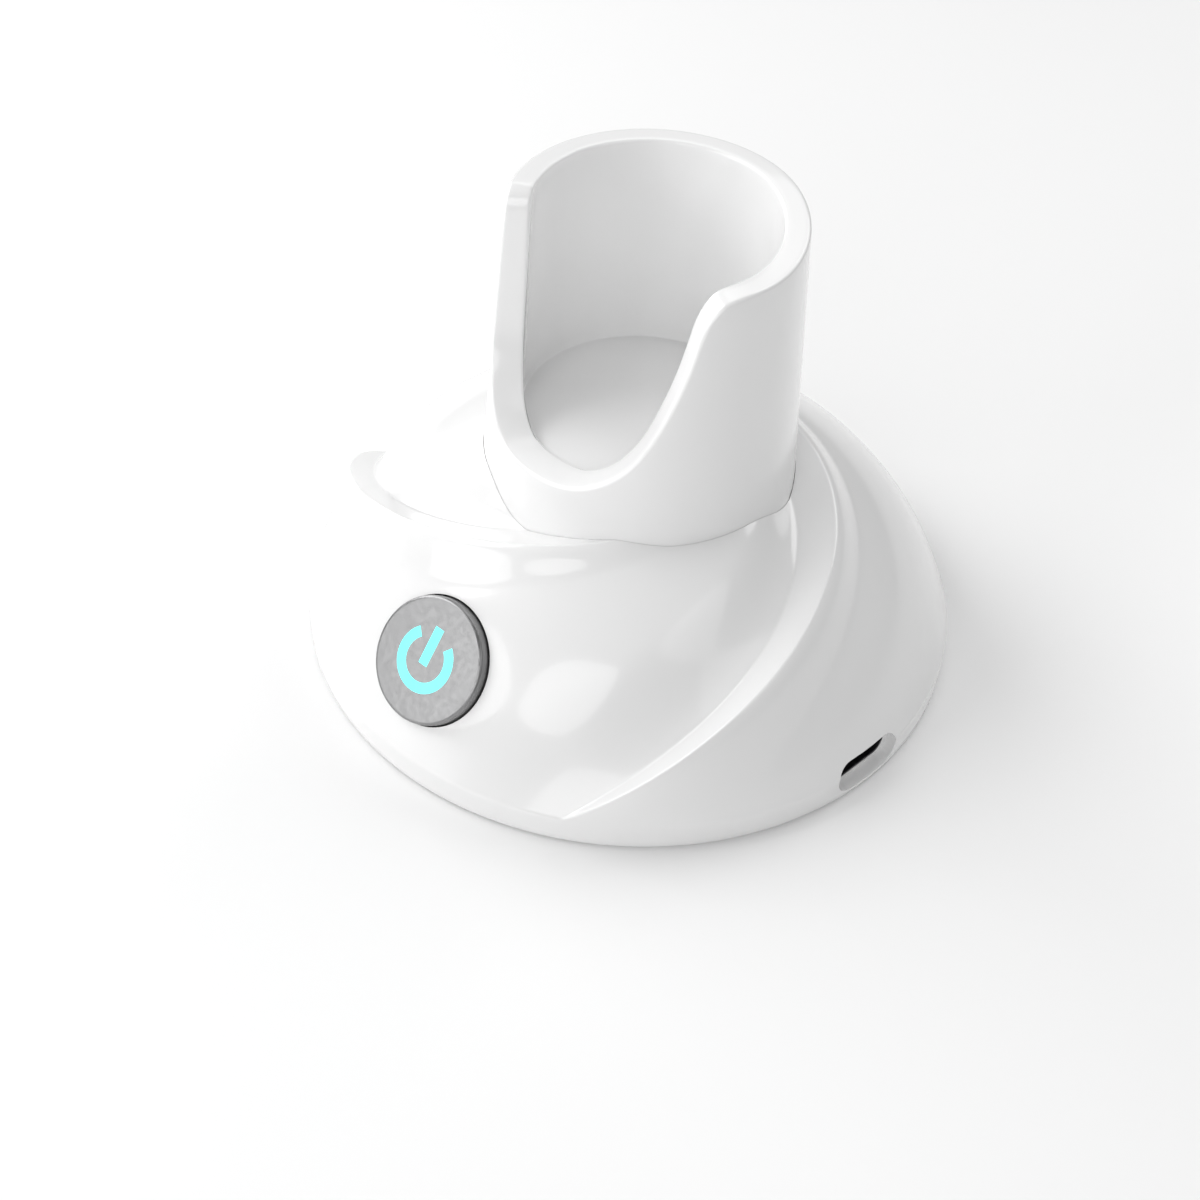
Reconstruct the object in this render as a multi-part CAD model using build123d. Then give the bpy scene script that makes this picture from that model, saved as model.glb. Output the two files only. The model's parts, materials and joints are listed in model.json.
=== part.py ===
"""Charging stand for an electric toothbrush, in millimetres.

+Z is up, the origin is the centre of the footprint on the table, the power button
faces -Y and the USB-C port opens near +X.
"""
from build123d import *
from math import acos, cos, degrees, exp, hypot, pi, radians, sin
import os

os.makedirs("parts", exist_ok=True)

# Outer form
BASE_R = 43.0
BAND_H = 4.0
STAND_H = 62.6
DOME_ARC_R = 43.51
DOME_ARC_X = 2.47
CAVITY_ARC_R = 39.0
TABLE_GAP = 0.3

# Swirl: two ridges that climb the dome as they turn round it
RIDGE_STARTS = (-58.7, -174.0)
RIDGE_FOOT_ANGLE = degrees(acos((BASE_R - DOME_ARC_X) / DOME_ARC_R))
DOME_ARC_Z = BAND_H - DOME_ARC_R * sin(radians(RIDGE_FOOT_ANGLE))
RIDGE_CLIMB = 61.2
RIDGE_TURN = 85.6
RIDGE_SWEEP = 152.0
CREST_HEIGHT = 2.07
CREST_END = 142.0
CREST_RISE = 8.2
CREST_FADE = 25.3
VALLEY_DEPTH = 1.46
VALLEY_GROWTH = 0.009
VALLEY_RISE = 11.6
VALLEY_FADE = 36.0
STRIP_START = 0.42
STRIP_GROWTH = 0.0565
STRIP_BEND = 0.0015

# Cradle cup
CUP_R_TOP = 17.6
CUP_R_LOW = 19.8
CUP_LOW_Z = 27.7
BORE_R_TOP = 14.6
BORE_R_FLOOR = 15.15
CUP_FLOOR_Z = 33.7
CUP_FLOOR_T = 1.6
FLOOR_BEVEL = 0.25
SKIRT_BORE_R = 16.6
FLANGE_R = 24.2
FLANGE_Z = 18.5
FLANGE_T = 2.0
CUP_SEAT_Z = FLANGE_Z + FLANGE_T
CUP_GAP = 0.06
# Lip of the cup: turn from the front (degrees, port side positive) and height
LIP_PATH = ((-65.4, 62.6), (-58.9, 62.4), (-54.7, 61.4), (-52.4, 59), (-51.1, 55), (-49.5, 48.5),
            (-46.2, 43.2), (-40.9, 40), (-34.4, 37.7), (-26.4, 35.7), (-15.4, 34.3), (-2.4, 34),
            (11.6, 34.3), (24.6, 35.9), (36.4, 39.4), (45.8, 44.9), (53.8, 51.6), (58.8, 57),
            (63.8, 59.6), (71.8, 60.7), (93.8, 60.8), (123.8, 61.5), (153.8, 62.4), (188.8, 62.6),
            (228.8, 62.6), (262.6, 62.6))

# Power button, square to the dome
BUTTON_TILT = 37.9
BUTTON_OUT = 36.33
BUTTON_UP = 14.7
BUTTON_R = 7.9
BUTTON_PROUD = 1.25
BUTTON_BEVEL = 0.45
BUTTON_CLEAR = 0.2
BUTTON_SHOULDER = -3.0
SEAL_T = 0.5
BUTTON_FLANGE_R = 9.6
BUTTON_FLANGE_T = 1.0
ICON_R = 3.5
ICON_STROKE = 1.35
ICON_GAP = 41.0
BUTTON_BOARD_TOP = -10.4
CAP_FACE_T = 1.2
STEM_END = -6.05
TACT_H = 3.45
TACT_R = 1.7
TACT_BOTTOM = -8.2
ICON_BAR_LENGTH = 5.0
ICON_BAR_MIDDLE = 1.8
ICON_X = -0.3
ICON_Y = -0.1
BOARD_T = 1.2

# Port and main board
PORT_TURN = -3.7
PORT_Z = 3.4
PORT_FACE_R = 41.2
USB_W = 8.94
USB_H = 3.26
USB_L = 7.35
USB_WALL = 0.3
POCKET_W = 10.8
POCKET_H = 4.6
BOARD_Z = PORT_Z + USB_H / 2
BOARD_TOP_Z = BOARD_Z + BOARD_T
BOARD_R = 36.4
BOARD_X0 = 13.0
BOARD_HALF_W = 14.0
SOCKET_YS = (-6.5, 6.5)
LEAD_R = 0.8
COIL_LEAD_X = 6.0
COIL_LEAD_TOP = 29.6
BOARD_POSTS = ((24.8, 11.2), (24.8, -11.2), (32.4, 11.2), (32.4, -11.2))

# Base plate, feet and ballast
PLATE_R = 40.2
PLATE_Z0 = 0.5
PLATE_TOP = 1.7
FOOT_R = 5.0
FOOT_H = 1.1
PLATE_BOSS_R = 4.6
PLATE_BOSS_TOP = 3.2
POST_RING_R = 32.5
POST_TURNS = (40, 140, 220, 320)
POST_R = 2.9
BALLAST_Z = 2.0
BALLAST_T = 5.5
BALLAST_R_IN = 12.0
BALLAST_R_OUT = 35.0

# Screws
SCREW_R = 1.0
SCREW_HEAD_R = 1.9
SCREW_HEAD_H = 1.2
PILOT_CLEAR = 0.04
HOLE_CLEAR = 0.2

# Charging coil under the cup floor
COIL_TOP = 31.6
COIL_R = 11.6
COIL_R_IN = 4.5
COIL_T = 1.8
COIL_TURNS = 8
FERRITE_T = 1.0
CARRIER_T = 1.8
CARRIER_R = 16.2
CARRIER_BOSS_R = 14.2
CARRIER_BOSS_TURNS = (30, 150, 270)
CARRIER_TOP = COIL_TOP - COIL_T - FERRITE_T
FLANGE_SCREW_R = 22.3
FLANGE_SCREW_TURNS = (90, 210, 330)


def save(shape, node):
    shape.label = node
    export_step(shape, f"parts/{node}.step")


def tube(r_out, r_in, z0, height):
    return Pos(0, 0, z0 + height / 2) * (Cylinder(r_out, height) - Cylinder(r_in, height + 1))


def rod(radius, z0, z1, x=0.0, y=0.0):
    return Pos(x, y, (z0 + z1) / 2) * Cylinder(radius, z1 - z0)


def around(radius, turns):
    return [(radius * cos(radians(t)), radius * sin(radians(t))) for t in turns]


def screw(length, head_h=SCREW_HEAD_H):
    """Pan-head screw standing on z=0, head below and shank above."""
    head = rod(SCREW_HEAD_R, -head_h, 0)
    head = chamfer(head.edges().sort_by(Axis.Z)[0], 0.3)
    recess = Pos(0, 0, -head_h) * (Box(2.2, 0.5, 0.9) + Box(0.5, 2.2, 0.9))
    shank = rod(SCREW_R, 0, length)
    shank = chamfer(shank.edges().sort_by(Axis.Z)[-1], 0.4)
    return head + shank - recess


def stadium(width, height, depth):
    """Rounded slot shape lying along Y and Z, from x=0 to x=depth."""
    return extrude(Plane.YZ * SlotOverall(width, height), depth)


def button_frame(w=0.0):
    """Local frame on the button's axis, its z pointing out, w mm out from the dome."""
    out = Vector(0, -cos(radians(BUTTON_TILT)), sin(radians(BUTTON_TILT)))
    return Location(Plane(Vector(0, -BUTTON_OUT, BUTTON_UP) + out * w, x_dir=(1, 0, 0), z_dir=out))


def on_button(shape):
    return button_frame() * shape


def on_port(shape):
    return Rot(0, 0, PORT_TURN) * shape


# ---------------------------------------------------------------- swirl surfaces

def dome_point(climb, turn, offset):
    """Point on the dome at a climb angle and turn, moved out along the dome's normal."""
    reach = DOME_ARC_R + offset
    r = DOME_ARC_X + reach * cos(radians(climb))
    z = DOME_ARC_Z + reach * sin(radians(climb))
    return (r * cos(radians(turn)), r * sin(radians(turn)), z)


def climb_at(sweep):
    return RIDGE_FOOT_ANGLE + RIDGE_CLIMB * (1 - exp(-sweep / RIDGE_TURN))


def crest_at(sweep):
    return CREST_HEIGHT * (1 - (sweep / CREST_END) ** 2) * (1 - exp(-sweep / CREST_RISE))


def valley_at(sweep):
    return (VALLEY_DEPTH + VALLEY_GROWTH * sweep) * (1 - exp(-sweep / VALLEY_RISE))


def strip_at(sweep):
    return STRIP_START + STRIP_GROWTH * sweep + STRIP_BEND * sweep ** 2


def fade(distance, width):
    t = min(max(1 - distance / width, 0), 1)
    return t * t * (3 - 2 * t)


def spiral(start, turn_at, offset_at):
    """Curve that climbs the dome from the rim band to inside the cup."""
    count = 13
    sweeps = [RIDGE_SWEEP * (i / (count - 1)) ** 1.3 for i in range(count)]
    points = [dome_point(climb_at(s), start + turn_at(s) + s, offset_at(s)) for s in sweeps]
    return Edge.make_spline(points, parameters=[i / (count - 1) for i in range(count)])


def petal_faces(start, span):
    """One petal of the dome, from its crest to the next valley, and the strip up to its crest."""
    def petal_line(share):
        def turn_at(s):
            return share * (span - strip_at(s))

        def offset_at(s):
            from_crest = turn_at(s)
            to_valley = span - strip_at(s) - from_crest
            return (crest_at(s) * fade(from_crest, CREST_FADE)
                    - valley_at(s) * fade(to_valley, VALLEY_FADE))
        return spiral(start, turn_at, offset_at)

    count = round(span / 11)
    lines = [Wire([petal_line(i / count)]) for i in range(count + 1)]
    foot = spiral(start, lambda s: -strip_at(s), lambda s: -valley_at(s))
    crest = petal_line(0.0)
    top = Shell.make_loft(lines).faces()
    strip = Shell.make_loft([Wire([foot]), Wire([crest])], ruled=True).faces()
    return list(top) + list(strip)


def swirl_block():
    """Solid ring under the swirling top: rim band outside, flat below, hollow inside the cup."""
    first, second = RIDGE_STARTS
    top = petal_faces(second, first - second) + petal_faces(first, 360 - (first - second))
    drop = Vector(0, 0, -2 * STAND_H)
    shell = Shell(top)
    rims = [edge for edge in shell.edges()
            if sum(edge.is_same(other) for face in shell.faces() for other in face.edges()) == 1]
    walls = [Face.extrude(edge, drop) for edge in rims]
    floor = [face.moved(Location(drop)) for face in shell.faces()]
    block = Solid(Shell(shell.faces() + walls + floor))
    return block & rod(2 * BASE_R, TABLE_GAP, STAND_H)


def cavity_r(z):
    return DOME_ARC_X + (CAVITY_ARC_R ** 2 - (z - DOME_ARC_Z) ** 2) ** 0.5


def cavity_z(r):
    if r < cavity_r(CUP_SEAT_Z):
        return CUP_SEAT_Z
    return DOME_ARC_Z + (CAVITY_ARC_R ** 2 - (r - DOME_ARC_X) ** 2) ** 0.5


def turned(points):
    """Solid turned about Z from a closed outline of (radius, height) points."""
    return revolve(Plane.XZ * make_face(Polyline(*points, close=True)), Axis.Z)


def cavity():
    mid_z = (PLATE_TOP + CUP_SEAT_Z) / 2
    wall = ThreePointArc((cavity_r(PLATE_TOP), PLATE_TOP), (cavity_r(mid_z), mid_z),
                         (cavity_r(CUP_SEAT_Z), CUP_SEAT_Z))
    rest = Polyline((cavity_r(CUP_SEAT_Z), CUP_SEAT_Z), (0, CUP_SEAT_Z), (0, PLATE_TOP),
                    (cavity_r(PLATE_TOP), PLATE_TOP))
    return revolve(Plane.XZ * make_face([wall, rest]), Axis.Z)


def cup_outer_r(z):
    return CUP_R_LOW + (CUP_R_TOP - CUP_R_LOW) * (z - CUP_LOW_Z) / (STAND_H - CUP_LOW_Z)


# ---------------------------------------------------------------- housing

def post(radius, pilot_depth, x, y, z0):
    top = cavity_z(hypot(x, y)) + 1.0
    pillar = rod(radius, z0, top, x, y)
    pilot = rod(SCREW_R + PILOT_CLEAR, z0 - 1, z0 + pilot_depth, x, y)
    return pillar, pilot


def upper_housing():
    body = swirl_block()
    body -= cavity()
    body -= rod(PLATE_R + HOLE_CLEAR, 0, PLATE_TOP)
    body -= rod(FLANGE_R + HOLE_CLEAR, FLANGE_Z, CUP_SEAT_Z)
    hole_top = CUP_LOW_Z + 6
    body -= turned([(0, CUP_SEAT_Z - 1), (cup_outer_r(CUP_SEAT_Z - 1) + CUP_GAP, CUP_SEAT_Z - 1),
                    (cup_outer_r(hole_top) + CUP_GAP, hole_top), (0, hole_top)])
    boss = on_button(rod(12.4, BUTTON_SHOULDER - 2.6, -2.0))
    posts = [on_button(rod(1.9, BUTTON_BOARD_TOP, BUTTON_SHOULDER - 2.3, x)) for x in (-11.4, 11.4)]
    pilots = [on_button(rod(SCREW_R + PILOT_CLEAR, BUTTON_BOARD_TOP - 1, BUTTON_BOARD_TOP + 4.6, x))
              for x in (-11.4, 11.4)]
    for x, y in around(POST_RING_R, POST_TURNS):
        pillar, pilot = post(POST_R, 6.0, x, y, PLATE_BOSS_TOP)
        posts.append(pillar)
        pilots.append(pilot)
    for x, y in BOARD_POSTS:
        pillar, pilot = post(2.2, 5.0, x, y, BOARD_TOP_Z)
        posts.append(on_port(pillar))
        pilots.append(on_port(pilot))
    for x, y in around(FLANGE_SCREW_R, FLANGE_SCREW_TURNS):
        pilots.append(rod(SCREW_R + PILOT_CLEAR, CUP_SEAT_Z - 1, CUP_SEAT_Z + 3.2, x, y))
    body += [boss] + posts
    body -= on_button(rod(BUTTON_R + BUTTON_CLEAR, -6, 8))
    body -= on_button(rod(BUTTON_FLANGE_R + 0.3, -8, BUTTON_SHOULDER))
    pocket = Pos(PORT_FACE_R, 0, PORT_Z) * stadium(POCKET_W, POCKET_H, 6)
    slot = Pos(PORT_FACE_R - 6, 0, PORT_Z) * stadium(USB_W + 0.16, USB_H + 0.16, 7)
    body -= on_port(pocket) + on_port(slot)
    body -= pilots
    return body


# ---------------------------------------------------------------- cradle cup

def lip_knots():
    """Where each lip point lies on the closed curve; steps follow distance, so it cannot loop."""
    knots = [0]
    for (turn, z), (next_turn, next_z) in zip(LIP_PATH, LIP_PATH[1:] + LIP_PATH[:1]):
        along = radians((next_turn - turn) % 360) * CUP_R_TOP
        knots.append(knots[-1] + (along ** 2 + (next_z - z) ** 2) ** 0.25)
    return [knot / knots[-1] for knot in knots]


def lip_cutter():
    """Everything above the flowing lip of the cup."""
    curves = []
    for radius in (12.0, 26.0):
        points = []
        for turn, z in LIP_PATH:
            angle = radians(turn - 90)
            points.append((radius * cos(angle), radius * sin(angle), z))
        curves.append(Wire([Edge.make_spline(points, periodic=True, parameters=lip_knots())]))
    ring = Shell.make_loft(curves, ruled=True).faces()[0]
    return Solid.extrude(ring, Vector(0, 0, STAND_H))


def cradle_cup():
    body = turned([(0, CUP_FLOOR_Z - CUP_FLOOR_T), (SKIRT_BORE_R, CUP_FLOOR_Z - CUP_FLOOR_T),
                   (SKIRT_BORE_R, FLANGE_Z), (FLANGE_R, FLANGE_Z), (FLANGE_R, CUP_SEAT_Z),
                   (cup_outer_r(CUP_SEAT_Z), CUP_SEAT_Z), (CUP_R_TOP, STAND_H),
                   (BORE_R_TOP, STAND_H), (BORE_R_FLOOR, CUP_FLOOR_Z + FLOOR_BEVEL),
                   (BORE_R_FLOOR - FLOOR_BEVEL, CUP_FLOOR_Z), (0, CUP_FLOOR_Z)])
    whole = body.volume
    body -= lip_cutter()
    assert body.volume < 0.95 * whole, "the lip cut left the cup closed"
    under = CUP_FLOOR_Z - CUP_FLOOR_T
    for x, y in around(CARRIER_BOSS_R, CARRIER_BOSS_TURNS):
        body += rod(2.1, CARRIER_TOP, under + 0.2, x, y)
        body -= rod(SCREW_R + PILOT_CLEAR, CARRIER_TOP - 1, CARRIER_TOP + 2.9, x, y)
    for x, y in around(FLANGE_SCREW_R, FLANGE_SCREW_TURNS):
        body -= rod(SCREW_R + HOLE_CLEAR, FLANGE_Z - 1, CUP_SEAT_Z + 1, x, y)
    return body


# ---------------------------------------------------------------- button

def icon(depth, z0):
    """Generic power sign: an open ring with a bar through the gap, the bar pointing up the dome."""
    ring = Circle(ICON_R + ICON_STROKE / 2) - Circle(ICON_R - ICON_STROKE / 2)
    reach = 3 * ICON_R
    side = reach * sin(radians(ICON_GAP)), reach * cos(radians(ICON_GAP))
    ring -= make_face(Polyline((0, 0), side, (side[0], reach), (-side[0], reach), (-side[0], side[1]),
                               close=True))
    bar = Pos(0, ICON_BAR_MIDDLE) * Rectangle(ICON_STROKE, ICON_BAR_LENGTH)
    return Pos(ICON_X, ICON_Y, z0) * extrude(ring + bar, depth)


def button_cap():
    flange_z = BUTTON_SHOULDER - SEAL_T - 0.05
    body = rod(BUTTON_R, flange_z - BUTTON_FLANGE_T, BUTTON_PROUD)
    body = fillet(body.edges().sort_by(Axis.Z)[-1], BUTTON_BEVEL)
    body += rod(BUTTON_FLANGE_R, flange_z - BUTTON_FLANGE_T, flange_z)
    body -= rod(BUTTON_R - 1.1, flange_z - 2, BUTTON_PROUD - CAP_FACE_T)
    return on_button(body - icon(4, BUTTON_PROUD - CAP_FACE_T - 1))


def button_light_guide():
    under = BUTTON_PROUD - CAP_FACE_T
    disc = rod(BUTTON_R - 1.15, under - 1.2, under)
    stem = rod(2.0, STEM_END, under - 1.0)
    return on_button(disc + stem + icon(CAP_FACE_T, under))


def button_seal():
    ring = tube(BUTTON_FLANGE_R + 0.25, BUTTON_R + 0.06, BUTTON_SHOULDER - SEAL_T, SEAL_T)
    return on_button(ring)


def button_board():
    plate = Pos(0, 0.5, BUTTON_BOARD_TOP - BOARD_T / 2) * Box(27.2, 14, BOARD_T)
    plate = fillet(plate.edges().filter_by(Axis.Z), 1.5)
    for x in (-11.4, 11.4):
        plate -= rod(SCREW_R + HOLE_CLEAR, BUTTON_BOARD_TOP - 3, BUTTON_BOARD_TOP + 1, x)
    return on_button(plate)


def button_board_screws():
    foot = BUTTON_BOARD_TOP - BOARD_T
    return on_button(Compound([Pos(x, 0, foot) * screw(5.2) for x in (-11.4, 11.4)]))


def tact_switch_body():
    body = Pos(0, 0, BUTTON_BOARD_TOP + TACT_H / 2) * Box(6, 6, TACT_H)
    body = chamfer(body.edges().filter_by(Axis.Z), 0.5)
    well = rod(TACT_R + 0.05, TACT_BOTTOM - 0.6, BUTTON_BOARD_TOP + TACT_H + 1)
    return on_button(body - well)


def tact_switch_plunger():
    pin = rod(TACT_R, TACT_BOTTOM, STEM_END - 0.05)
    return on_button(chamfer(pin.edges().sort_by(Axis.Z)[-1], 0.15))


def button_leds():
    chips = []
    for x in (-5.4, 5.4):
        base = Pos(x, 0, BUTTON_BOARD_TOP + 0.2) * Box(1.6, 3.2, 0.4)
        lens = Pos(x, 0, BUTTON_BOARD_TOP + 0.65) * Box(1.4, 2.0, 0.5)
        chips.append(base + fillet(lens.edges().filter_by(Axis.Z), 0.3))
    return on_button(Compound(chips))


def button_socket():
    foot = BUTTON_BOARD_TOP - BOARD_T
    body = Pos(0, 2.0, foot - 1.7) * Box(6.0, 4.6, 3.4)
    return on_button(body - Pos(0, 2.0, foot - 2.6) * Box(4.6, 3.2, 2.0))


# ---------------------------------------------------------------- port and main board

def usb_c_shell():
    body = stadium(USB_W, USB_H, USB_L) - Pos(-1, 0, 0) * stadium(USB_W - 2 * USB_WALL,
                                                                  USB_H - 2 * USB_WALL, USB_L + 2)
    return on_port(Pos(PORT_FACE_R - USB_L, 0, PORT_Z) * body)


def usb_c_tongue():
    back = stadium(USB_W - 2 * USB_WALL - 0.04, USB_H - 2 * USB_WALL - 0.04, 2.4)
    blade = Pos(2.3 + 2.2, 0, 0) * Box(4.6, 6.69, 0.7)
    blade = fillet(blade.edges().filter_by(Axis.Z).sort_by(Axis.X)[-2:], 0.4)
    return on_port(Pos(PORT_FACE_R - USB_L, 0, PORT_Z) * (back + blade))


def usb_c_contacts():
    strips = []
    for side in (-1, 1):
        for i in range(12):
            y = (i - 5.5) * 0.5
            strips.append(Pos(4.5, y, side * 0.39) * Box(3.4, 0.26, 0.08))
    return on_port(Pos(PORT_FACE_R - USB_L, 0, PORT_Z) * Compound(strips))


def main_board():
    plate = Pos(0, 0, BOARD_Z + BOARD_T / 2) * Cylinder(BOARD_R, BOARD_T)
    plate &= Pos(BOARD_X0 + 15, 0, BOARD_Z) * Box(30, 2 * BOARD_HALF_W, 4)
    for x, y in BOARD_POSTS:
        plate -= rod(SCREW_R + HOLE_CLEAR, 0, 10, x, y)
    return on_port(plate)


def main_board_screws():
    return on_port(Compound([Pos(x, y, BOARD_Z) * screw(5.6) for x, y in BOARD_POSTS]))


def lead_sockets():
    """Two side-entry sockets on the main board, open towards the middle of the stand."""
    sockets = []
    for y in SOCKET_YS:
        body = Pos(17.4, y, BOARD_TOP_Z + 1.7) * Box(5.4, 5.2, 3.4)
        sockets.append(body - Pos(15.4, y, BOARD_TOP_Z + 1.7) * Box(3.4, 3.8, 2.2))
    return on_port(Compound(sockets))


def driver_chip():
    body = Pos(24.4, -4.6, BOARD_TOP_Z + 0.5) * Box(5, 5, 1.0)
    dot = Pos(22.9, -3.1, BOARD_TOP_Z + 0.9) * Cylinder(0.4, 0.4)
    return on_port(chamfer(body.edges().group_by(Axis.Z)[-1], 0.15) - dot)


def transistors():
    return on_port(Compound([Pos(x, 0.2, BOARD_TOP_Z + 0.45) * Box(2.6, 2.9, 0.9)
                             for x in (22.2, 26.0, 29.8, 33.6)]))


def resonant_capacitors():
    boxes = []
    for x in (23.4, 27.4, 31.4):
        box = Pos(x, 5.0, BOARD_TOP_Z + 2.1) * Box(3.0, 5.2, 4.2)
        boxes.append(fillet(box.edges().filter_by(Axis.Z), 0.4))
    return on_port(Compound(boxes))


def inductor():
    body = Pos(31.2, -5.2, BOARD_TOP_Z + 1.6) * Box(6.2, 6.2, 3.2)
    body = chamfer(body.edges().filter_by(Axis.Z), 1.2)
    return on_port(body - Pos(31.2, -5.2, BOARD_TOP_Z + 3.2) * Cylinder(1.9, 0.5))


def lead(points, radii, radius):
    """Round lead swept along straight runs joined by tangent arcs."""
    path = FilletPolyline(*points, radius=radii)
    start = Plane(path @ 0, z_dir=path % 0)
    tube_ = sweep(start * Circle(radius), path=path)
    print("lead radii", radii, "length", round(path.length, 1),
          "volume check", round(tube_.volume / (path.length * pi * radius ** 2), 3))
    return tube_


def button_leads():
    foot = button_frame(BUTTON_BOARD_TOP - BOARD_T - 2.4) * Pos(0, 2.0, 0)
    begin = foot.position
    inward = Vector(0, cos(radians(BUTTON_TILT)), -sin(radians(BUTTON_TILT)))
    end_z = BOARD_TOP_Z + 1.7
    points = [begin, begin + inward * 5.0, Vector(4.0, SOCKET_YS[0] - 3.0, 5.4),
              Vector(9.0, SOCKET_YS[0] - 0.6, end_z - 0.4), Vector(14.6, SOCKET_YS[0] - 0.6, end_z)]
    return lead(points, [2.6, 3.0, 3.0], LEAD_R)


def coil_leads():
    end_z = BOARD_TOP_Z + 1.7
    y = SOCKET_YS[1]
    points = [(COIL_LEAD_X, y, COIL_LEAD_TOP), (COIL_LEAD_X, y, 11.5), (9.6, y, end_z + 0.2),
              (14.6, y, end_z)]
    return lead([Vector(p) for p in points], [4.0, 3.0], LEAD_R)


# ---------------------------------------------------------------- coil

def charging_coil():
    """Flat winding: close turns of round wire, with a groove between each turn."""
    pitch = (COIL_R - COIL_R_IN) / COIL_TURNS
    turns = []
    for layer in (0, 1):
        z = COIL_TOP - COIL_T * (0.25 + 0.5 * layer)
        for i in range(COIL_TURNS):
            radius = COIL_R_IN + pitch * (i + 0.5)
            turns.append(Pos(0, 0, z) * Torus(radius, min(pitch, COIL_T / 2) / 2 - 0.01))
    return Compound(turns)


def ferrite_disc():
    disc = rod(COIL_R + 0.2, CARRIER_TOP, CARRIER_TOP + FERRITE_T)
    return disc - rod(LEAD_R + 0.3, CARRIER_TOP - 1, COIL_TOP, COIL_LEAD_X, SOCKET_YS[1])


def coil_carrier():
    body = rod(CARRIER_R, CARRIER_TOP - CARRIER_T, CARRIER_TOP)
    for x, y in around(CARRIER_BOSS_R, CARRIER_BOSS_TURNS):
        body -= rod(SCREW_R + HOLE_CLEAR, CARRIER_TOP - 5, CARRIER_TOP + 1, x, y)
    return body - rod(LEAD_R + 0.3, CARRIER_TOP - 5, CARRIER_TOP + 1, COIL_LEAD_X, SOCKET_YS[1])


def coil_carrier_screws():
    foot = CARRIER_TOP - CARRIER_T
    return Compound([Pos(x, y, foot) * screw(4.4)
                     for x, y in around(CARRIER_BOSS_R, CARRIER_BOSS_TURNS)])


def cup_screws():
    return Compound([Pos(x, y, FLANGE_Z) * screw(4.8)
                     for x, y in around(FLANGE_SCREW_R, FLANGE_SCREW_TURNS)])


# ---------------------------------------------------------------- underside

def base_plate():
    body = rod(PLATE_R, PLATE_Z0, PLATE_TOP)
    body = chamfer(body.edges().sort_by(Axis.Z)[0], 0.4)
    for x, y in around(POST_RING_R, POST_TURNS):
        body += rod(PLATE_BOSS_R, PLATE_Z0 + 0.3, PLATE_BOSS_TOP - 0.02, x, y)
        body -= rod(FOOT_R + 0.1, 0, FOOT_H, x, y)
        body -= rod(SCREW_HEAD_R + 0.2, 0, FOOT_H + SCREW_HEAD_H, x, y)
        body -= rod(SCREW_R + HOLE_CLEAR, 0, 5, x, y)
    return body


def base_screws():
    return Compound([Pos(x, y, FOOT_H + SCREW_HEAD_H) * screw(6.4)
                     for x, y in around(POST_RING_R, POST_TURNS)])


def rubber_feet():
    feet = []
    for x, y in around(POST_RING_R, POST_TURNS):
        foot = rod(FOOT_R, 0, FOOT_H, x, y)
        feet.append(fillet(foot.edges().sort_by(Axis.Z)[0], 0.25))
    return Compound(feet)


def ballast_outline(thickness, z0):
    """C-shaped plate in the back and left of the stand, clear of the base posts."""
    ring = tube(BALLAST_R_OUT, BALLAST_R_IN, z0, thickness)
    span = 60.0
    mouth = make_face(Polyline((0, 0), (span, -span * 2), (span, 0), (span, span), close=True))
    mouth += make_face(Polyline((0, 0), (-span * 1.2, -span * 2), (span, -span * 2), close=True))
    ring -= Pos(0, 0, z0 - 1) * extrude(mouth, thickness + 2)
    for x, y in around(POST_RING_R, POST_TURNS):
        ring -= rod(PLATE_BOSS_R + 0.4, 0, z0 + thickness + 1, x, y)
    return ring


def ballast_weight():
    return ballast_outline(BALLAST_T, BALLAST_Z)


def ballast_pad():
    return ballast_outline(BALLAST_Z - PLATE_TOP, PLATE_TOP)


PARTS = (upper_housing, cradle_cup, base_plate, base_screws, rubber_feet, ballast_weight, ballast_pad,
         button_cap, button_light_guide, button_seal, button_board, button_board_screws, button_leds,
         button_socket, button_leads, tact_switch_body, tact_switch_plunger, main_board,
         main_board_screws, lead_sockets, driver_chip, transistors, resonant_capacitors, inductor,
         usb_c_shell, usb_c_tongue, usb_c_contacts, charging_coil, ferrite_disc,
         coil_carrier, coil_carrier_screws, coil_leads, cup_screws)

for make in PARTS:
    save(make(), make.__name__)
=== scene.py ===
"""Looks of the toothbrush charging stand: glossy white shells, satin button, lit power sign."""
import json
from math import acos, cos, degrees, pi, radians, sin

import bmesh
import bpy
import numpy as np
from mathutils import Matrix, Vector


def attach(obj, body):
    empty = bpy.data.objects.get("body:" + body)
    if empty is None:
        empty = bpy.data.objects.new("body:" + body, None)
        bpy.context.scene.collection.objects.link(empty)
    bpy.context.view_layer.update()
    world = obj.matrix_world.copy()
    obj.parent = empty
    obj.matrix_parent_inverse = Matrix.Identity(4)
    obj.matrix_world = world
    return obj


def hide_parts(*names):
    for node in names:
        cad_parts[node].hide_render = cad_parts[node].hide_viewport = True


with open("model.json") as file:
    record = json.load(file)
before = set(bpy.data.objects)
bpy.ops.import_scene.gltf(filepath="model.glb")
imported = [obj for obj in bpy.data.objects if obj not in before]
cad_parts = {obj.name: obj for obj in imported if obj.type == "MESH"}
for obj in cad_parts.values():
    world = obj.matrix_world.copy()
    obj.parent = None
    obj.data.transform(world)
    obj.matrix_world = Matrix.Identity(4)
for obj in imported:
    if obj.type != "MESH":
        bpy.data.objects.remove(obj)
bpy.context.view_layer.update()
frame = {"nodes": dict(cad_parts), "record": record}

NODES = frame["nodes"]
MM = 0.001

# ---------------------------------------------------------------- sizes in millimetres

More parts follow.
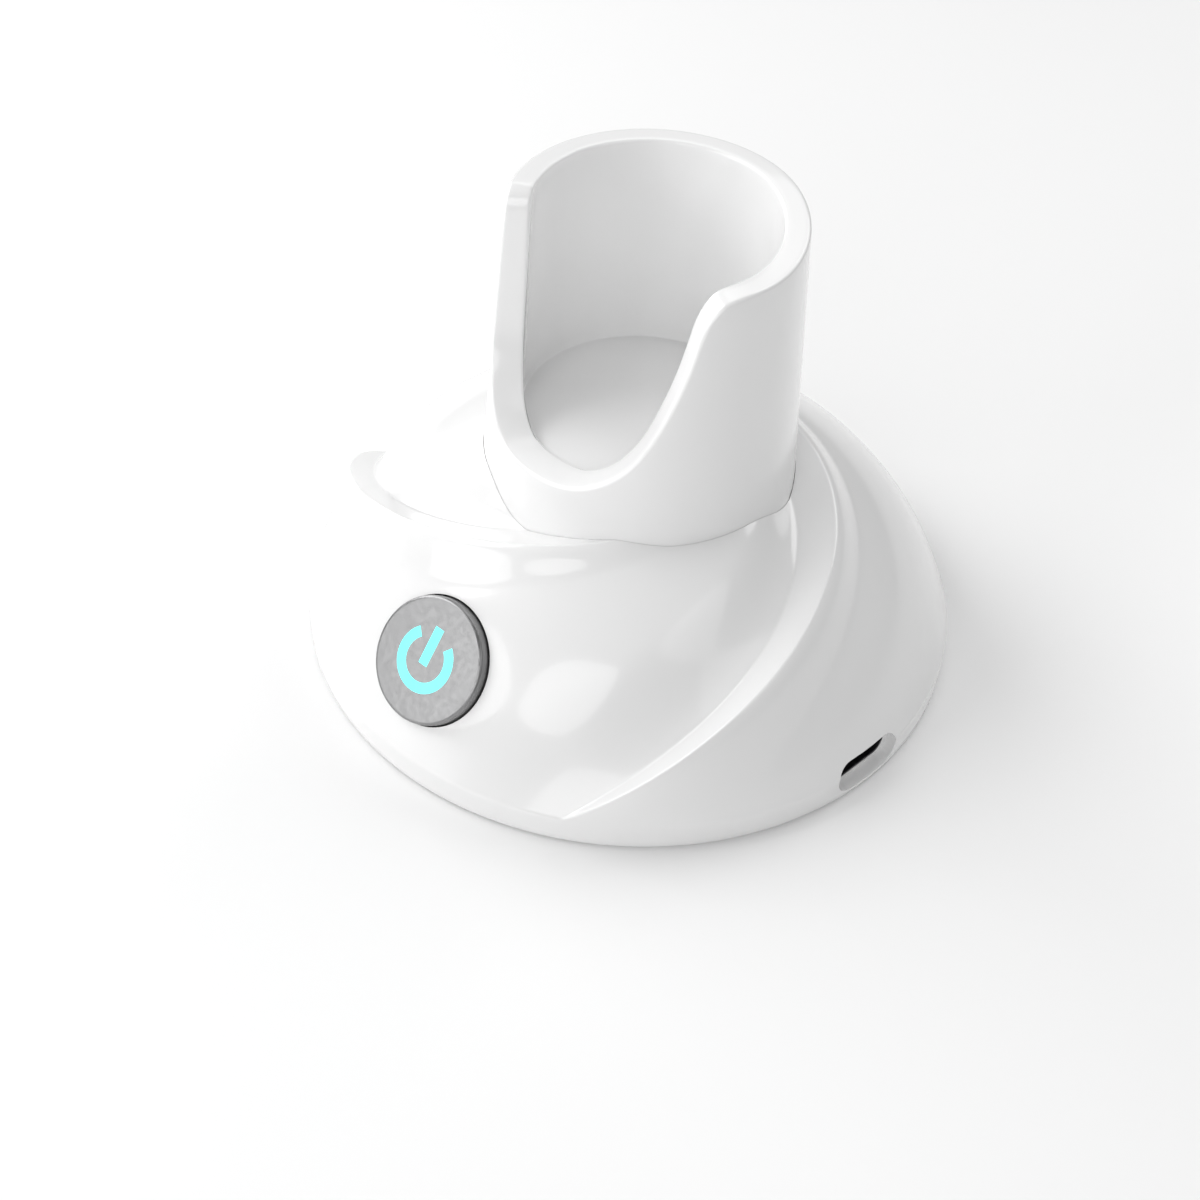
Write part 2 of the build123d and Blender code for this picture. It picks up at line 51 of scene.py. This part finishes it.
BASE_R = 43.0
BAND_H = 4.0
STAND_H = 62.6
TABLE_GAP = 0.3
DOME_ARC_R = 43.51
DOME_ARC_X = 2.47
CAVITY_ARC_R = 39.0
RIDGE_STARTS = (-58.7, -174.0)
RIDGE_FOOT_ANGLE = degrees(acos((BASE_R - DOME_ARC_X) / DOME_ARC_R))
DOME_ARC_Z = BAND_H - DOME_ARC_R * sin(radians(RIDGE_FOOT_ANGLE))
RIDGE_CLIMB = 61.2
RIDGE_TURN = 85.6
CREST_HEIGHT = 2.07
CREST_END = 142.0
CREST_RISE = 8.2
CREST_FADE = 25.3
VALLEY_DEPTH = 1.46
VALLEY_GROWTH = 0.009
VALLEY_RISE = 11.6
VALLEY_FADE = 36.0
STRIP_START = 0.42
STRIP_GROWTH = 0.0565
STRIP_BEND = 0.0015
CREASE_SOFT = 0.7
RIM_SOFT = 0.35
FOOT_SOFT = 0.35
BAND_ROWS = (1.4, 2.5, 3.2)
HOUSING_ROWS = 84
CAVITY_ROWS = 14

CUP_R_TOP = 17.6
CUP_R_LOW = 19.8
CUP_LOW_Z = 27.7
CUP_SEAT_Z = 20.5
CUP_GAP = 0.06
BORE_R_TOP = 14.6
BORE_R_FLOOR = 15.15
CUP_FLOOR_Z = 33.7
CUP_FLOOR_T = 1.6
FLOOR_BEVEL = 0.25
SKIRT_BORE_R = 16.6
FLANGE_R = 24.2
FLANGE_Z = 18.5
PLATE_R = 40.4
PLATE_TOP = 1.7
LIP_SOFT = 0.45
LIP_STEPS = 420
LIP_MIDDLE_R = 16.5
LIP_RUN_R = 16.2
LIP_PATH = ((-65.4, 62.6), (-58.9, 62.4), (-54.7, 61.4), (-52.4, 59), (-51.1, 55), (-49.5, 48.5),
            (-46.2, 43.2), (-40.9, 40), (-34.4, 37.7), (-26.4, 35.7), (-15.4, 34.3), (-2.4, 34),
            (11.6, 34.3), (24.6, 35.9), (36.4, 39.4), (45.8, 44.9), (53.8, 51.6), (58.8, 57),
            (63.8, 59.6), (71.8, 60.7), (93.8, 60.8), (123.8, 61.5), (153.8, 62.4), (188.8, 62.6),
            (228.8, 62.6), (262.6, 62.6))

BUTTON_TILT = 37.9
BUTTON_OUT = 36.33
BUTTON_UP = 14.7
BUTTON_R = 7.9
BUTTON_CLEAR = 0.2
BUTTON_BORE_LOW = -9
BUTTON_BORE_HIGH = 8

PORT_TURN = -3.7
PORT_Z = 3.4
PORT_FACE_R = 41.2
USB_W = 8.94
USB_H = 3.26
POCKET_W = 10.8
POCKET_H = 4.6
POCKET_DEPTH = 6
SLOT_CLEAR = 0.16
SLOT_LOW = -7
SLOT_HIGH = 0.5


# ---------------------------------------------------------------- mesh helpers

def skin(name, points, loop_rows):
    """Closed skin over rings of points, rows by columns. Without loop_rows both ends close on a hub."""
    rows, columns, _ = points.shape
    verts = [tuple(p) for p in (points.reshape(-1, 3) * MM)]
    faces = []
    for i in range(rows if loop_rows else rows - 1):
        a = i * columns
        b = ((i + 1) % rows) * columns
        for j in range(columns):
            k = (j + 1) % columns
            faces.append((a + j, a + k, b + k, b + j))
    if not loop_rows:
        for ring in (0, rows - 1):
            hub = len(verts)
            verts.append(tuple(points[ring].mean(axis=0) * MM))
            for j in range(columns):
                faces.append((ring * columns + j, ring * columns + (j + 1) % columns, hub))
    mesh = bpy.data.meshes.new(name)
    mesh.from_pydata(verts, [], faces)
    work = bmesh.new()
    work.from_mesh(mesh)
    bmesh.ops.recalc_face_normals(work, faces=work.faces)
    work.to_mesh(mesh)
    work.free()
    mesh.polygons.foreach_set("use_smooth", [True] * len(mesh.polygons))
    thing = bpy.data.objects.new(name, mesh)
    bpy.context.scene.collection.objects.link(thing)
    return thing


def prism(name, outline, place, low, high):
    """Solid over an outline of (x, y) points, from low to high along z, then put in place."""
    work = bmesh.new()
    foot = [work.verts.new((x, y, low)) for x, y in outline]
    head = [work.verts.new((x, y, high)) for x, y in outline]
    count = len(outline)
    for j in range(count):
        k = (j + 1) % count
        work.faces.new((foot[j], foot[k], head[k], head[j]))
    work.faces.new(foot)
    work.faces.new(head)
    bmesh.ops.recalc_face_normals(work, faces=work.faces)
    mesh = bpy.data.meshes.new(name)
    bmesh.ops.transform(work, matrix=place, verts=work.verts)
    bmesh.ops.scale(work, vec=(MM, MM, MM), verts=work.verts)
    work.to_mesh(mesh)
    work.free()
    thing = bpy.data.objects.new(name, mesh)
    bpy.context.scene.collection.objects.link(thing)
    return thing


def carve(thing, cutters, sharp):
    """Takes the cutters out of the thing and marks its sharp edges."""
    for cutter in cutters:
        step = thing.modifiers.new("cut", "BOOLEAN")
        step.object = cutter
        step.operation = "DIFFERENCE"
        step.solver = "EXACT"
    shaped = bpy.data.meshes.new_from_object(thing.evaluated_get(bpy.context.evaluated_depsgraph_get()))
    thing.modifiers.clear()
    thing.data = shaped
    for cutter in cutters:
        bpy.data.objects.remove(cutter)
    shaped.polygons.foreach_set("use_smooth", [True] * len(shaped.polygons))
    shaped.set_sharp_from_angle(angle=radians(sharp))


def circle(radius, count):
    return [(radius * cos(2 * pi * i / count), radius * sin(2 * pi * i / count)) for i in range(count)]


def slot_outline(width, height, count=16):
    """Rounded slot, its long side along x."""
    reach = (width - height) / 2
    points = []
    for side in (1, -1):
        for i in range(count + 1):
            a = pi * i / count - pi / 2
            points.append((side * (reach + height / 2 * cos(a)), side * height / 2 * sin(a)))
    return points


# ---------------------------------------------------------------- swirling housing

def dome_point(climb, turn, offset):
    reach = DOME_ARC_R + offset
    r = DOME_ARC_X + reach * np.cos(np.radians(climb))
    z = DOME_ARC_Z + reach * np.sin(np.radians(climb))
    return np.stack((r * np.cos(np.radians(turn)), r * np.sin(np.radians(turn)), z), axis=-1)


def climb_at(s):
    return RIDGE_FOOT_ANGLE + RIDGE_CLIMB * (1 - np.exp(-s / RIDGE_TURN))


def crest_at(s):
    return CREST_HEIGHT * (1 - (s / CREST_END) ** 2) * (1 - np.exp(-s / CREST_RISE))


def valley_at(s):
    return (VALLEY_DEPTH + VALLEY_GROWTH * s) * (1 - np.exp(-s / VALLEY_RISE))


def strip_at(s):
    return STRIP_START + STRIP_GROWTH * s + STRIP_BEND * s ** 2


def fade(distance, width):
    t = np.clip(1 - distance / width, 0, 1)
    return t * t * (3 - 2 * t)


def petal_point(start, span, share, s):
    """Point on the broad face between one crest and the foot of the next."""
    own = share * (span - strip_at(s))
    to_valley = span - strip_at(s) - own
    offset = crest_at(s) * fade(own, CREST_FADE) - valley_at(s) * fade(to_valley, VALLEY_FADE)
    return dome_point(climb_at(s), start + own + s, offset)


def strip_point(start, share, s):
    """Point on the narrow steep face from a valley up to its crest."""
    foot = dome_point(climb_at(s), start - strip_at(s) + s, -valley_at(s))
    crest = dome_point(climb_at(s), start + s, crest_at(s))
    return foot + (crest - foot) * np.asarray(share)[..., None]


def petal_shares(span):
    """Places across a petal, close together beside its crest and beside the valley."""
    near = [0, 0.12, 0.25, 0.4, 0.6, 0.85, 1.2, 1.7, 2.4, 3.4, 4.8, 6.6, 9.0]
    middle = list(np.linspace(12, span - 12, round(span / 3)))
    far = [span - d for d in reversed(near)]
    return [d / span for d in near + middle + far]


def housing_columns():
    """(kind, start, span, share) of every column round the housing."""
    first, second = RIDGE_STARTS
    strip_shares = (0.02, 0.05, 0.09, 0.15, 0.24, 0.36, 0.5, 0.64, 0.76, 0.85, 0.91, 0.95, 0.98)
    columns = []
    for start, span, next_start in ((second, first - second, first),
                                    (first, 360 - (first - second), second + 360)):
        columns += [("petal", start, span, share) for share in petal_shares(span)]
        columns += [("strip", next_start, 0, share) for share in strip_shares]
    return columns


def cup_outer_r(z):
    return CUP_R_LOW + (CUP_R_TOP - CUP_R_LOW) * (z - CUP_LOW_Z) / (STAND_H - CUP_LOW_Z)


def column_point(column, s):
    kind, start, span, share = column
    if kind == "petal":
        return petal_point(start, span, share, s)
    return strip_point(start, np.full(np.shape(s), share), s)


def sweep_to_cup(column):
    """Sweep at which a column meets the cup's outer wall."""
    low = 10.0
    high = 200.0
    for _ in range(40):
        middle = (low + high) / 2
        x, y, z = column_point(column, np.array(middle))
        if np.hypot(x, y) > cup_outer_r(z) + CUP_GAP:
            low = middle
        else:
            high = middle
    return low


def soften_ring(ring, width):
    """Rounds the corners of a closed ring of points over a width along it."""
    closed = np.vstack((ring, ring[:1]))
    steps = np.linalg.norm(np.diff(closed, axis=0), axis=1)
    along = np.concatenate(([0], np.cumsum(steps)))
    total = along[-1]
    out = np.zeros_like(ring)
    weights = 0
    for i in range(-6, 7):
        weight = 1 + cos(pi * i / 7)
        at = (along[:-1] + width * i / 7) % total
        out += weight * np.stack([np.interp(at, along, closed[:, k]) for k in range(3)], axis=1)
        weights += weight
    return out / weights


def cavity_r(z):
    return DOME_ARC_X + (CAVITY_ARC_R ** 2 - (z - DOME_ARC_Z) ** 2) ** 0.5


def housing_points():
    columns = housing_columns()
    share = np.linspace(0, 1, HOUSING_ROWS) ** 1.12
    top = np.stack([column_point(c, share * sweep_to_cup(c)) for c in columns], axis=1)
    rim_turns = np.arctan2(top[0, :, 1], top[0, :, 0])
    rounds = np.stack((np.cos(rim_turns), np.sin(rim_turns), np.zeros(len(columns))), axis=1)

    def ring(r, z):
        return rounds * r + np.array((0, 0, z))

    rows = [ring(PLATE_R, TABLE_GAP), ring(BASE_R - FOOT_SOFT, TABLE_GAP),
            ring(BASE_R - 0.1, TABLE_GAP + 0.1), ring(BASE_R, TABLE_GAP + FOOT_SOFT)]
    rows += [ring(BASE_R, z) for z in (*BAND_ROWS, BAND_H - RIM_SOFT)]
    for i in range(1, len(top)):
        top[i] = soften_ring(top[i], CREASE_SOFT)
    step = top[1] - top[0]
    above = top[0] + step * RIM_SOFT / np.linalg.norm(step, axis=1)[:, None]
    rows += [(above + rows[-1] + 2 * top[0]) / 4, above]
    rows.extend(top[1:])
    last_turns = np.arctan2(top[-1, :, 1], top[-1, :, 0])
    seat_r = cup_outer_r(CUP_SEAT_Z) + CUP_GAP
    for r, z in ((seat_r, CUP_SEAT_Z), (cavity_r(CUP_SEAT_Z), CUP_SEAT_Z)):
        rows.append(np.stack((r * np.cos(last_turns), r * np.sin(last_turns),
                              np.full(len(columns), z)), axis=1))
    spin = (last_turns - rim_turns + pi) % (2 * pi) - pi
    spin = np.unwrap(spin)
    for z in np.linspace(CUP_SEAT_Z - 1.5, PLATE_TOP, CAVITY_ROWS):
        turn = rim_turns + spin * (z - PLATE_TOP) / (CUP_SEAT_Z - PLATE_TOP)
        r = cavity_r(z)
        rows.append(np.stack((r * np.cos(turn), r * np.sin(turn), np.full(len(columns), z)), axis=1))
    rows.append(ring(PLATE_R, PLATE_TOP))
    return np.array(rows)


def button_place():
    """Frame on the button: x to the side, y up the dome, z out along its travel."""
    tilt = radians(BUTTON_TILT)
    out = Vector((0, -cos(tilt), sin(tilt)))
    up = Vector((0, sin(tilt), cos(tilt)))
    middle = Vector((0, -BUTTON_OUT, BUTTON_UP))
    return Matrix.Translation(middle) @ Matrix((Vector((1, 0, 0)), up, out)).transposed().to_4x4()


def port_place():
    """Frame in the port's mouth: x along the slot, y up, z outward."""
    turn = radians(PORT_TURN)
    out = Vector((cos(turn), sin(turn), 0))
    along = Vector((-sin(turn), cos(turn), 0))
    axes = Matrix((along, Vector((0, 0, 1)), out)).transposed().to_4x4()
    return Matrix.Translation(out * PORT_FACE_R + Vector((0, 0, PORT_Z))) @ axes


def build_housing(finish):
    housing = skin("housing_skin", housing_points(), True)
    bore = prism("bore", circle(BUTTON_R + BUTTON_CLEAR, 96), button_place(),
                 BUTTON_BORE_LOW, BUTTON_BORE_HIGH)
    pocket = prism("pocket", slot_outline(POCKET_W, POCKET_H), port_place(), 0, POCKET_DEPTH)
    slot = prism("slot", slot_outline(USB_W + SLOT_CLEAR, USB_H + SLOT_CLEAR), port_place(),
                 SLOT_LOW, SLOT_HIGH)
    carve(housing, (bore, pocket, slot), 38)
    housing.data.materials.append(finish)
    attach(housing, "stand")
    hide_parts("upper_housing")


# ---------------------------------------------------------------- cradle cup

def closed_spline(points, count):
    """Smooth closed curve through points, evenly spaced along its length."""
    size = len(points)
    lines = np.zeros((size, size))
    for i in range(size):
        lines[i, i] = 4
        lines[i, (i + 1) % size] = 1
        lines[i, (i - 1) % size] = 1
    points = np.asarray(points, float)
    rise = 3 * (np.roll(points, -1, axis=0) - np.roll(points, 1, axis=0))
    slopes = np.linalg.solve(lines, rise)
    dense = []
    for t in np.arange(0, size, 0.01):
        i = int(t)
        f = t - i
        k = (i + 1) % size
        dense.append((2 * f ** 3 - 3 * f ** 2 + 1) * points[i] + (f ** 3 - 2 * f ** 2 + f) * slopes[i]
                     + (3 * f ** 2 - 2 * f ** 3) * points[k] + (f ** 3 - f ** 2) * slopes[k])
    dense = np.array(dense + dense[:1])
    along = np.concatenate(([0], np.cumsum(np.linalg.norm(np.diff(dense, axis=0), axis=1))))
    at = np.linspace(0, along[-1], count, endpoint=False)
    return np.stack([np.interp(at, along, dense[:, k]) for k in range(points.shape[1])], axis=1)


def bore_r(z):
    return BORE_R_FLOOR + (BORE_R_TOP - BORE_R_FLOOR) * (z - CUP_FLOOR_Z) / (STAND_H - CUP_FLOOR_Z)


def lip_edge():
    """Turn and height of the lip at even steps along it, and its slope's two parts."""
    knots = [(LIP_MIDDLE_R * cos(radians(t - 90)), LIP_MIDDLE_R * sin(radians(t - 90)), z)
             for t, z in LIP_PATH]
    path = closed_spline(knots, LIP_STEPS)
    turn = np.unwrap(np.arctan2(path[:, 1], path[:, 0]))
    heights = np.minimum(path[:, 2], STAND_H)
    nexts = np.roll(turn, -1)
    nexts[-1] += 2 * pi
    befores = np.roll(turn, 1)
    befores[0] -= 2 * pi
    run = (nexts - befores) * LIP_RUN_R
    rise = np.roll(heights, -1) - np.roll(heights, 1)
    length = np.hypot(run, rise)
    return turn, heights, run / length, rise / length


def wall_point(turn, radius, z):
    return np.stack((radius * np.cos(turn), radius * np.sin(turn), z), axis=-1)


def lip_corner(turn, z, run, rise, radius_at, side, soft, count=5):
    """Rows that turn from the wall into the lip: side 1 is the outer wall and -1 the bore."""
    rows = []
    for i in range(count + 1):
        a = pi / 2 * i / count
        into = soft * (1 - np.sin(a))
        inward = soft * (1 - np.cos(a))
        height = z - into * run
        shift = into * rise / radius_at(z)
        rows.append(wall_point(turn + shift, radius_at(height) - side * inward, height))
    return rows


def cup_points():
    turn, z, run, rise = lip_edge()
    even = turn[0] + np.linspace(0, 2 * pi, len(turn), endpoint=False)
    foot_turn = turn + 0.35 * (even - turn)
    outer_soft = np.full(len(turn), LIP_SOFT)
    inner_soft = np.minimum(LIP_SOFT, 0.8 * (z - CUP_FLOOR_Z - FLOOR_BEVEL))
    outer = lip_corner(turn, z, run, rise, cup_outer_r, 1, outer_soft)
    inner = lip_corner(turn, z, run, rise, bore_r, -1, inner_soft)
    inner.reverse()

    def ring(radius, height, angle=foot_turn):
        return wall_point(angle, np.full(len(turn), radius), np.full(len(turn), float(height)))

    under = CUP_FLOOR_Z - CUP_FLOOR_T
    rows = [ring(r, under) for r in (1, 6, 11, SKIRT_BORE_R)]
    rows += [ring(SKIRT_BORE_R, FLANGE_Z), ring(FLANGE_R, FLANGE_Z), ring(FLANGE_R, CUP_SEAT_Z),
             ring(cup_outer_r(CUP_SEAT_Z), CUP_SEAT_Z)]
    top_turn = np.unwrap(np.arctan2(outer[0][:, 1], outer[0][:, 0]))
    top_turn += 2 * pi * np.round((foot_turn - top_turn) / (2 * pi))
    for share in np.linspace(0, 1, 30)[1:-1]:
        height = CUP_SEAT_Z + (outer[0][:, 2] - CUP_SEAT_Z) * share
        angle = foot_turn + (top_turn - foot_turn) * share
        rows.append(wall_point(angle, cup_outer_r(height), height))
    rows += outer
    rows += [outer[-1] + (inner[0] - outer[-1]) * share for share in (0.25, 0.5, 0.75)]
    rows += inner
    low = CUP_FLOOR_Z + FLOOR_BEVEL
    low_turn = np.unwrap(np.arctan2(inner[-1][:, 1], inner[-1][:, 0]))
    low_turn += 2 * pi * np.round((foot_turn - low_turn) / (2 * pi))
    for share in np.linspace(0, 1, 26)[1:]:
        height = inner[-1][:, 2] + (low - inner[-1][:, 2]) * share
        angle = low_turn + (foot_turn - low_turn) * share
        rows.append(wall_point(angle, bore_r(height), height))
    for a in (pi / 8, pi / 4, 3 * pi / 8, pi / 2):
        rows.append(ring(BORE_R_FLOOR - FLOOR_BEVEL * (1 - cos(a)), low - FLOOR_BEVEL * sin(a)))
    rows += [ring(r, CUP_FLOOR_Z) for r in (14.6, 13.5, 10, 6, 2)]
    return np.array(rows)


def build_cup(finish):
    cup = skin("cup_skin", cup_points(), False)
    cup.data.set_sharp_from_angle(angle=radians(50))
    cup.data.materials.append(finish)
    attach(cup, "stand")
    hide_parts("cradle_cup")


# ---------------------------------------------------------------- materials

def material(name, colour, roughness, metallic=0.0):
    mat = bpy.data.materials.new(name)
    mat.use_nodes = True
    shader = mat.node_tree.nodes["Principled BSDF"]
    shader.inputs["Base Color"].default_value = (*colour, 1)
    shader.inputs["Roughness"].default_value = roughness
    shader.inputs["Metallic"].default_value = metallic
    return mat, mat.node_tree, shader


def noise(tree, scale, detail=2.0, stretch=None):
    """Noise over the object's own coordinates, in cycles per metre."""
    place = tree.nodes.new("ShaderNodeTexCoord")
    texture = tree.nodes.new("ShaderNodeTexNoise")
    texture.inputs["Scale"].default_value = scale
    texture.inputs["Detail"].default_value = detail
    if stretch is None:
        tree.links.new(place.outputs["Object"], texture.inputs["Vector"])
    else:
        mapping = tree.nodes.new("ShaderNodeMapping")
        mapping.inputs["Scale"].default_value = stretch
        tree.links.new(place.outputs["Object"], mapping.inputs["Vector"])
        tree.links.new(mapping.outputs["Vector"], texture.inputs["Vector"])
    return texture


def vary(tree, texture, socket, low, high):
    """Runs a number socket from low to high with the texture."""
    span = tree.nodes.new("ShaderNodeMapRange")
    span.inputs["From Min"].default_value = 0.3
    span.inputs["From Max"].default_value = 0.7
    span.inputs["To Min"].default_value = low
    span.inputs["To Max"].default_value = high
    tree.links.new(texture.outputs["Fac"], span.inputs["Value"])
    tree.links.new(span.outputs["Result"], socket)


def tint(tree, texture, socket, dark, light):
    """Runs a colour socket from dark to light with the texture."""
    ramp = tree.nodes.new("ShaderNodeValToRGB")
    ramp.color_ramp.elements[0].position = 0.3
    ramp.color_ramp.elements[0].color = (*dark, 1)
    ramp.color_ramp.elements[1].position = 0.7
    ramp.color_ramp.elements[1].color = (*light, 1)
    tree.links.new(texture.outputs["Fac"], ramp.inputs["Fac"])
    tree.links.new(ramp.outputs["Color"], socket)


def grain(tree, texture, shader, strength, depth):
    """Fine surface relief, depth in metres."""
    bump = tree.nodes.new("ShaderNodeBump")
    bump.inputs["Strength"].default_value = strength
    bump.inputs["Distance"].default_value = depth
    tree.links.new(texture.outputs["Fac"], bump.inputs["Height"])
    tree.links.new(bump.outputs["Normal"], shader.inputs["Normal"])


def moulded(name, colour, roughness, coat=0.0, relief=0.0, specular=0.5):
    """Moulded plastic or rubber, with a faint change of gloss and shade over its surface."""
    mat, tree, shader = material(name, colour, roughness)
    shader.inputs["Coat Weight"].default_value = coat
    shader.inputs["Coat Roughness"].default_value = 0.04
    shader.inputs["Specular IOR Level"].default_value = specular
    cloud = noise(tree, 60)
    vary(tree, cloud, shader.inputs["Roughness"], roughness * 0.9, roughness * 1.1)
    tint(tree, cloud, shader.inputs["Base Color"], [c * 0.985 for c in colour], colour)
    if relief:
        grain(tree, noise(tree, 4000, 3), shader, 0.4, relief)
    return mat


def metal(name, colour, roughness, brushed=None, scale=1500):
    """Metal with a fine finish; brushed gives the directions in which its marks are short."""
    mat, tree, shader = material(name, colour, roughness, 1.0)
    marks = noise(tree, scale, 4, brushed)
    vary(tree, marks, shader.inputs["Roughness"], roughness * 0.8, roughness * 1.2)
    tint(tree, marks, shader.inputs["Base Color"], [c * 0.94 for c in colour], colour)
    grain(tree, marks, shader, 0.15, 0.00001)
    return mat


def lit_sign():
    mat, tree, shader = material("cyan_light", (0.1, 0.5, 0.5), 0.5)
    glow = noise(tree, 300)
    tint(tree, glow, shader.inputs["Emission Color"], (0.16, 0.97, 0.98), (0.19, 1.0, 1.0))
    shader.inputs["Emission Strength"].default_value = 1.0
    return mat


def board_green():
    mat, tree, shader = material("board_green", (0.02, 0.14, 0.06), 0.35)
    shader.inputs["Coat Weight"].default_value = 0.4
    tracks = tree.nodes.new("ShaderNodeTexVoronoi")
    tracks.feature = "DISTANCE_TO_EDGE"
    tracks.distance = "MANHATTAN"
    tracks.inputs["Scale"].default_value = 350
    place = tree.nodes.new("ShaderNodeTexCoord")
    tree.links.new(place.outputs["Object"], tracks.inputs["Vector"])
    ramp = tree.nodes.new("ShaderNodeValToRGB")
    ramp.color_ramp.elements[0].position = 0.05
    ramp.color_ramp.elements[0].color = (0.03, 0.2, 0.09, 1)
    ramp.color_ramp.elements[1].position = 0.09
    ramp.color_ramp.elements[1].color = (0.015, 0.11, 0.045, 1)
    tree.links.new(tracks.outputs["Distance"], ramp.inputs["Fac"])
    tree.links.new(ramp.outputs["Color"], shader.inputs["Base Color"])
    return mat


def coil_copper():
    mat, tree, shader = material("coil_copper", (0.72, 0.32, 0.14), 0.3, 1.0)
    strands = noise(tree, 900, 2)
    tint(tree, strands, shader.inputs["Base Color"], (0.6, 0.24, 0.09), (0.8, 0.38, 0.18))
    vary(tree, strands, shader.inputs["Roughness"], 0.22, 0.36)
    return mat


def make_finishes():
    return {
        "gloss_white": moulded("gloss_white", (0.86, 0.86, 0.86), 0.16, coat=0.5),
        "matt_white": moulded("matt_white", (0.82, 0.82, 0.82), 0.45, relief=0.00002),
        "screw_steel": metal("screw_steel", (0.55, 0.55, 0.57), 0.3),
        "foot_rubber": moulded("foot_rubber", (0.09, 0.09, 0.095), 0.75, relief=0.00003),
        "ballast_iron": metal("ballast_iron", (0.3, 0.3, 0.31), 0.5),
        "pad_foam": moulded("pad_foam", (0.05, 0.05, 0.055), 0.9, relief=0.00008),
        "satin_metal": metal("satin_metal", (0.3, 0.3, 0.303), 0.38),
        "cyan_light": lit_sign(),
        "seal_rubber": moulded("seal_rubber", (0.12, 0.12, 0.12), 0.7, relief=0.00002),
        "board_green": board_green(),
        "led_lens": moulded("led_lens", (0.75, 0.8, 0.6), 0.2),
        "socket_ivory": moulded("socket_ivory", (0.78, 0.72, 0.6), 0.4),
        "lead_sleeve": moulded("lead_sleeve", (0.4, 0.03, 0.03), 0.45),
        "black_plastic": moulded("black_plastic", (0.018, 0.018, 0.02), 0.35, relief=0.00002),
        "switch_plunger": moulded("switch_plunger", (0.3, 0.02, 0.02), 0.4),
        "capacitor_film": moulded("capacitor_film", (0.25, 0.05, 0.03), 0.3, coat=0.3),
        "ferrite_grey": moulded("ferrite_grey", (0.06, 0.06, 0.065), 0.55, relief=0.00004),
        # The port's steel is darkened nearly to black: painted shade for the shadowed inside of the
        # port.
        "port_steel": metal("port_steel", (0.07, 0.07, 0.075), 0.4),
        "gold_contact": metal("gold_contact", (0.95, 0.68, 0.26), 0.25),
        "coil_copper": coil_copper(),
    }


def dress_nodes(finishes):
    """Gives every CAD node the finish of its material slot and smooth round faces."""
    for part in frame["record"]["subparts"]:
        node = NODES[part["node"]]
        node.data.materials.clear()
        node.data.materials.append(finishes[part["material_slot"]])
        node.data.polygons.foreach_set("use_smooth", [True] * len(node.data.polygons))
        node.data.set_sharp_from_angle(angle=radians(30))


# ---------------------------------------------------------------- stage and camera

VIEW_TURN = 40.34
VIEW_HEIGHT = 43.61
VIEW_ROLL = 3.585
VIEW_DISTANCE = 5.956 * BASE_R * MM
VIEW_SLIDE = -0.08888 * BASE_R * MM
VIEW_LIFT = 0.00208 * BASE_R * MM
LENS = 56.06

# Even sky light and a ring of soft boxes: name, watts, turn seen from above, height in degrees
SKY_STRENGTH = 0.26
SOFT_BOX_SIZE = 0.4
SOFT_BOX_DISTANCE = 0.6
SOFT_BOXES = (
    ("left_low", 1.3, -90, 25),
    ("left_high", 1.3, -60, 45),
    ("front_low", 0.95, -20, 20),
    ("front_right", 0.8, 25, 28),
    ("right", 0.36, 90, 40),
    ("back_left", 0.4, -150, 55),
    ("back", 0.95, 170, 40),
)


def add_camera():
    turn = radians(VIEW_TURN)
    height = radians(VIEW_HEIGHT)
    roll = radians(VIEW_ROLL)
    back = Vector((sin(turn) * cos(height), -cos(turn) * cos(height), sin(height)))
    right = Vector((cos(turn), sin(turn), 0.0))
    up = back.cross(right)
    place = back * VIEW_DISTANCE + right * VIEW_SLIDE + up * VIEW_LIFT
    side = right * cos(roll) + up * sin(roll)
    top = up * cos(roll) - right * sin(roll)
    camera = bpy.data.cameras.new("camera")
    camera.lens = LENS
    camera.sensor_width = 36.0
    camera.clip_start = 0.01
    holder = bpy.data.objects.new("camera", camera)
    bpy.context.scene.collection.objects.link(holder)
    axes = Matrix((side, top, back)).transposed().to_4x4()
    holder.matrix_world = Matrix.Translation(place) @ axes
    bpy.context.scene.camera = holder


def add_light(name, size, power, turn, height, distance):
    """Round soft light; its turn is seen from above, 0 at the front and 90 at the port side."""
    lamp = bpy.data.lights.new(name, "AREA")
    lamp.shape = "DISK"
    lamp.size = size
    lamp.energy = power
    holder = bpy.data.objects.new(name, lamp)
    bpy.context.scene.collection.objects.link(holder)
    a = radians(turn)
    h = radians(height)
    aim = Vector((0, 0, 0.02))
    place = aim + distance * Vector((sin(a) * cos(h), -cos(a) * cos(h), sin(h)))
    facing = (place - aim).to_track_quat("Z", "Y").to_matrix().to_4x4()
    holder.matrix_world = Matrix.Translation(place) @ facing


def add_stage():
    bpy.ops.mesh.primitive_plane_add(size=6.0, location=(0, 0, 0))
    floor = bpy.context.object
    floor.name = "studio_floor"
    mat, tree, shader = material("studio_floor", (0.9, 0.9, 0.9), 0.3)
    shader.inputs["Specular IOR Level"].default_value = 0.3
    vary(tree, noise(tree, 8), shader.inputs["Roughness"], 0.28, 0.32)
    floor.data.materials.append(mat)
    world = bpy.data.worlds.new("studio")
    bpy.context.scene.world = world
    world.use_nodes = True
    world.node_tree.nodes["Background"].inputs["Color"].default_value = (1, 1, 1, 1)
    world.node_tree.nodes["Background"].inputs["Strength"].default_value = SKY_STRENGTH
    for name, power, turn, height in SOFT_BOXES:
        add_light(name, SOFT_BOX_SIZE, power, turn, height, SOFT_BOX_DISTANCE)
    bpy.context.scene.view_settings.view_transform = "Standard"


finishes = make_finishes()
dress_nodes(finishes)
build_housing(finishes["gloss_white"])
build_cup(finishes["gloss_white"])
add_stage()
add_camera()
